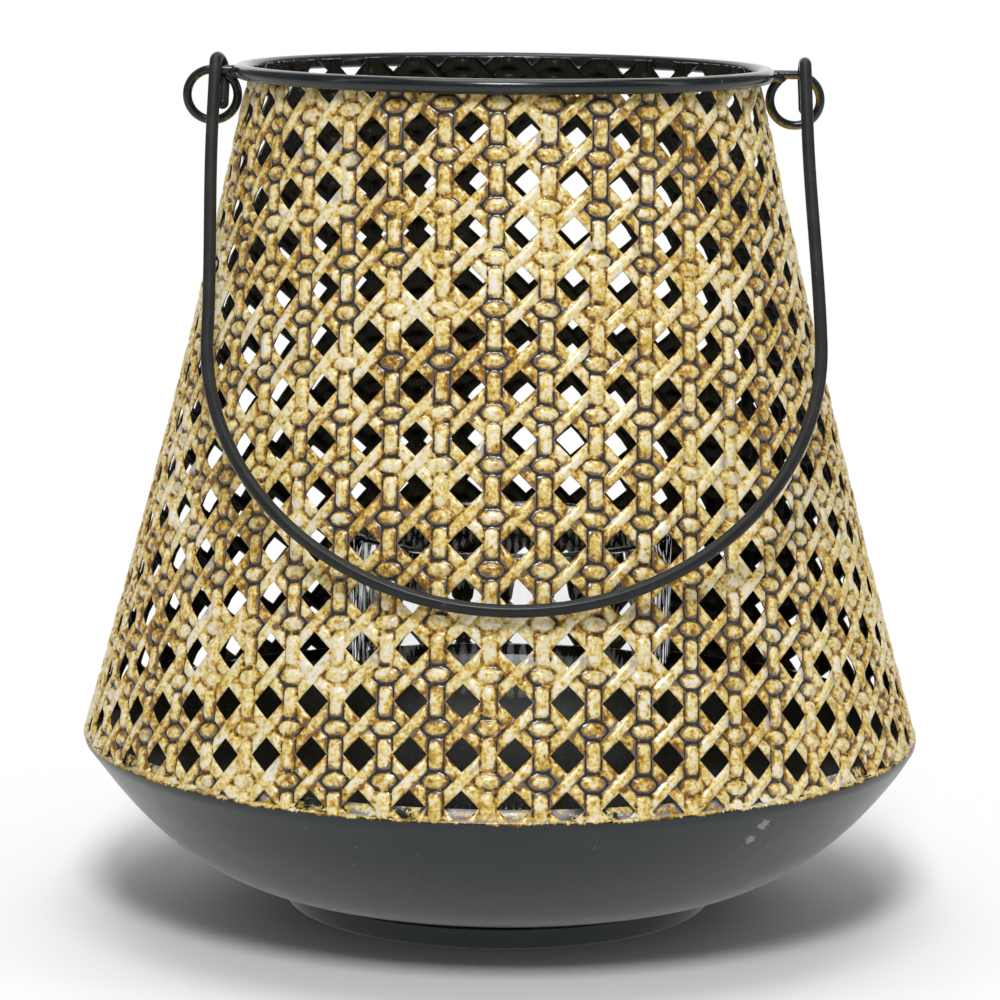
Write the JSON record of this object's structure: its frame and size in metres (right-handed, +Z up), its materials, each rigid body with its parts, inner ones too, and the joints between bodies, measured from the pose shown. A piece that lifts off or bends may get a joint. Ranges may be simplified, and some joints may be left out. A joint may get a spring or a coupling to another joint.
{
  "type": "punched tin lantern",
  "caption": "Candle lantern: a punched and embossed sheet metal cone with a cane weave pattern on a black bowl, with a wire rim, a swinging wire bail and a loose glass cup inside.",
  "frame": {"origin": "middle of the foot ring's underside, on the lantern's upright axis", "axes": "+Z up along the lantern's axis, the bail hangs down the front on the -Y side, +X to the right seen from the front"},
  "size_m": [0.2056, 0.2056, 0.2085],
  "materials": {
    "cane_paint": "cream and gold sponged over dark enamel",
    "bowl_black": "satin black enamel",
    "wire_black": "satin black enamel",
    "clear_glass": "clear"
  },
  "bodies": {
    "lantern": {"shade_front": "cane_paint", "shade_back": "cane_paint", "rim_ring": "wire_black", "left_eyelet": "wire_black", "right_eyelet": "wire_black", "base_bowl": "bowl_black", "foot_ring": "bowl_black"},
    "bail": {"bail_handle": "wire_black"},
    "cup": {"glass_cup": "clear_glass"}
  },
  "joints": [
    {"name": "bail_swing", "type": "hinge", "parent": "lantern", "child": "bail", "pos_m": [0, 0, 0.2042], "axis": [-1, 0, 0], "range_deg": [0, 282]},
    {"name": "cup_lift", "type": "slide", "parent": "lantern", "child": "cup", "axis": [0, 0, 1], "range_m": [0, 0.21]}
  ]
}
